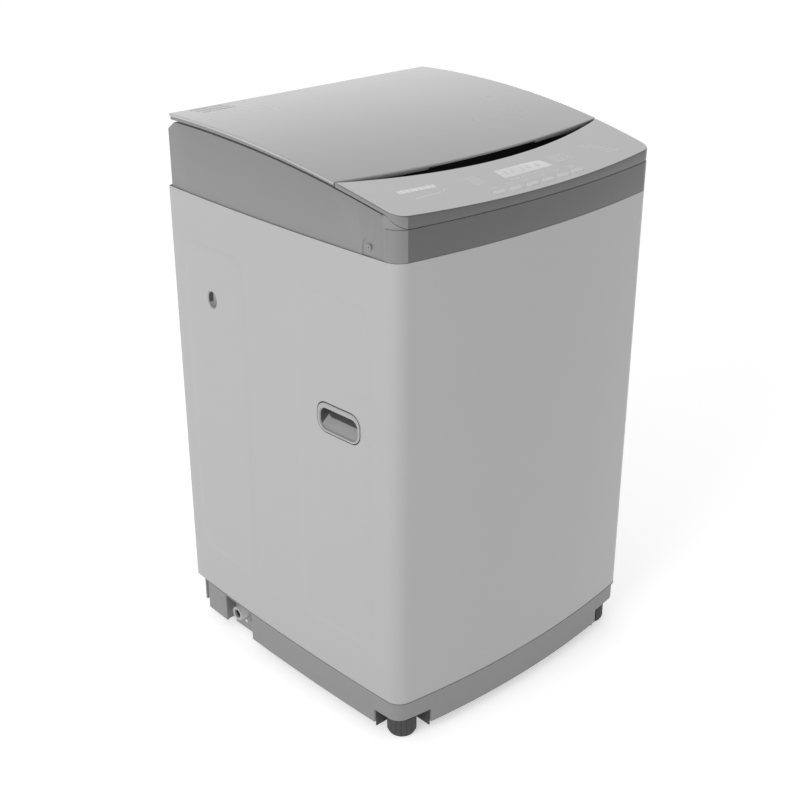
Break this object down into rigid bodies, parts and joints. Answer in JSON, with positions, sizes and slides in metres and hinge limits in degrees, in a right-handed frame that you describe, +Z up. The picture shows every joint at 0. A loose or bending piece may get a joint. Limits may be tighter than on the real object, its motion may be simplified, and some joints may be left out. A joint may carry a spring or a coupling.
{
  "type": "top load washing machine",
  "caption": "Upright top load washing machine with bowed front, curved lid, sloped key panel, side grips, suspended tub, spinning basket and pulsator.",
  "frame": {"origin": "on the floor, below the middle of the machine's box", "axes": "+Z up, -Y towards the user who faces the controls, +X to that user's right"},
  "size_m": [0.59, 0.605, 0.97],
  "materials": {
    "base_plastic": "moulded, satin grey",
    "cabinet_enamel": "silver grey enamel, satin",
    "galvanised_sheet": "zinc coated sheet",
    "white_nylon": "moulded",
    "plated_rod": "zinc plated, bright",
    "deck_plastic": "moulded, mid grey",
    "fascia_plastic": "painted silver, satin gloss",
    "display_glass": "pale tinted window",
    "board_laminate": "solder resist",
    "light_plastic": "moulded, light grey",
    "black_plastic": "moulded",
    "grip_plastic": "moulded, satin grey",
    "grey_plastic": "moulded",
    "foot_rubber": "matt",
    "foot_plastic": "moulded, dark grey",
    "spring_steel": "oiled wire",
    "black_rubber": "matt",
    "tub_plastic": "moulded, off white",
    "cast_aluminium": "die cast",
    "bearing_steel": "ground",
    "motor_iron": "black lacquer",
    "basket_steel": "stainless, brushed",
    "lid_plastic": "painted silver, semi gloss",
    "key_plastic": "bright silver"
  },
  "bodies": {
    "cabinet": {"base_frame": "base_plastic", "cabinet_shell": "cabinet_enamel", "rear_panel": "galvanised_sheet", "corner_braces": "galvanised_sheet", "rod_sockets": "white_nylon", "suspension_rods": "plated_rod", "top_cover": "deck_plastic", "deck_front_trim": "deck_plastic", "control_fascia": "fascia_plastic", "display_window": "display_glass", "control_board": "board_laminate", "hinge_bushes": "white_nylon", "inlet_valve": "white_nylon", "inlet_tube": "black_rubber", "drawer_housing": "light_plastic", "level_sensor": "black_plastic", "side_handles": "grip_plastic", "side_port_cup": "grip_plastic", "drain_outlet": "grey_plastic", "lid_switch": "black_plastic", "power_gland": "black_plastic", "rear_feet": "foot_rubber", "case_screws": "plated_rod", "suspension_springs": "spring_steel", "drain_bellows": "black_rubber", "pressure_tube": "black_rubber"},
    "foot_left": {"foot_front_left": "foot_plastic"},
    "foot_right": {"foot_front_right": "foot_plastic"},
    "tub": {"outer_tub": "tub_plastic", "tub_cover_ring": "tub_plastic", "spring_cups": "black_plastic", "mount_plate": "galvanised_sheet", "clutch_housing": "cast_aluminium", "shaft_bearings": "bearing_steel", "tub_seal": "black_rubber", "motor_body": "motor_iron", "drive_belt": "black_rubber", "drain_valve": "grey_plastic", "drain_actuator": "black_plastic"},
    "basket": {"basket_drum": "basket_steel", "basket_base": "light_plastic", "balance_ring": "light_plastic", "spin_shaft": "bearing_steel", "lint_filters": "light_plastic"},
    "wash_drive": {"pulsator": "light_plastic", "wash_shaft": "bearing_steel", "drive_pulley": "cast_aluminium"},
    "motor": {"motor_rotor": "motor_iron"},
    "clutch": {"clutch_lever": "plated_rod"},
    "drain_plunger": {"drain_rod": "plated_rod"},
    "drawer": {"detergent_drawer": "light_plastic"},
    "lid": {"lid_panel": "lid_plastic", "lid_frame": "deck_plastic", "lid_bumpers": "black_rubber"},
    "key_program": {"button_program": "key_plastic"},
    "key_level": {"button_level": "key_plastic"},
    "key_wash": {"button_wash": "key_plastic"},
    "key_rinse": {"button_rinse": "key_plastic"},
    "key_delay": {"button_delay": "key_plastic"},
    "key_start": {"button_start": "key_plastic"}
  },
  "joints": [
    {"name": "lid_hinge", "type": "hinge", "parent": "cabinet", "child": "lid", "pos_m": [0, 0.262, 0.9575], "axis": [-1, 0, 0], "range_deg": [0, 85]},
    {"name": "tub_bounce", "type": "slide", "parent": "cabinet", "child": "tub", "axis": [0, 0, 1], "range_m": [-0.02, 0.01], "stiffness_N_per_m": 12000, "springref_m": 0.02499, "deforming": ["suspension_springs", "drain_bellows", "pressure_tube"]},
    {"name": "basket_spin", "type": "hinge", "parent": "tub", "child": "basket", "pos_m": [0, -0.009, 0.4], "axis": [0, 0, 1], "continuous": true},
    {"name": "pulsator_turn", "type": "hinge", "parent": "tub", "child": "wash_drive", "pos_m": [0, -0.009, 0.27], "axis": [0, 0, 1], "continuous": true},
    {"name": "motor_turn", "type": "hinge", "parent": "tub", "child": "motor", "pos_m": [0.165, -0.009, 0.14], "axis": [0, 0, 1], "continuous": true},
    {"name": "drain_pull", "type": "slide", "parent": "tub", "child": "drain_plunger", "axis": [1, 0, 0], "range_m": [0, 0.01], "stiffness_N_per_m": 900, "springref_m": -0.004},
    {"name": "clutch_swing", "type": "hinge", "parent": "tub", "child": "clutch", "pos_m": [-0.07, 0.062, 0.15], "axis": [0, 0, 1], "range_deg": [-7, 0]},
    {"name": "drawer_slide", "type": "slide", "parent": "cabinet", "child": "drawer", "axis": [0, -1, 0], "range_m": [0, 0.085]},
    {"name": "foot_left_height", "type": "slide", "parent": "cabinet", "child": "foot_left", "axis": [0, 0, 1], "range_m": [-0.015, 0]},
    {"name": "foot_right_height", "type": "slide", "parent": "cabinet", "child": "foot_right", "axis": [0, 0, 1], "range_m": [-0.015, 0]},
    {"name": "press_program", "type": "slide", "parent": "cabinet", "child": "key_program", "axis": [0, 0.237, -0.9715], "range_m": [0, 0.001], "stiffness_N_per_m": 400, "springref_m": -0.001},
    {"name": "press_level", "type": "slide", "parent": "cabinet", "child": "key_level", "axis": [0, 0.237, -0.9715], "range_m": [0, 0.001], "stiffness_N_per_m": 400, "springref_m": -0.001},
    {"name": "press_wash", "type": "slide", "parent": "cabinet", "child": "key_wash", "axis": [0, 0.237, -0.9715], "range_m": [0, 0.001], "stiffness_N_per_m": 400, "springref_m": -0.001},
    {"name": "press_rinse", "type": "slide", "parent": "cabinet", "child": "key_rinse", "axis": [0, 0.237, -0.9715], "range_m": [0, 0.001], "stiffness_N_per_m": 400, "springref_m": -0.001},
    {"name": "press_delay", "type": "slide", "parent": "cabinet", "child": "key_delay", "axis": [0, 0.237, -0.9715], "range_m": [0, 0.001], "stiffness_N_per_m": 400, "springref_m": -0.001},
    {"name": "press_start", "type": "slide", "parent": "cabinet", "child": "key_start", "axis": [0, 0.237, -0.9715], "range_m": [0, 0.001], "stiffness_N_per_m": 400, "springref_m": -0.001}
  ],
  "couplings": [
    {"joint": "motor_turn", "follows": "pulsator_turn", "ratio": 2.97},
    {"joint": "clutch_swing", "follows": "drain_pull", "rad_per_m": -9.9}
  ]
}
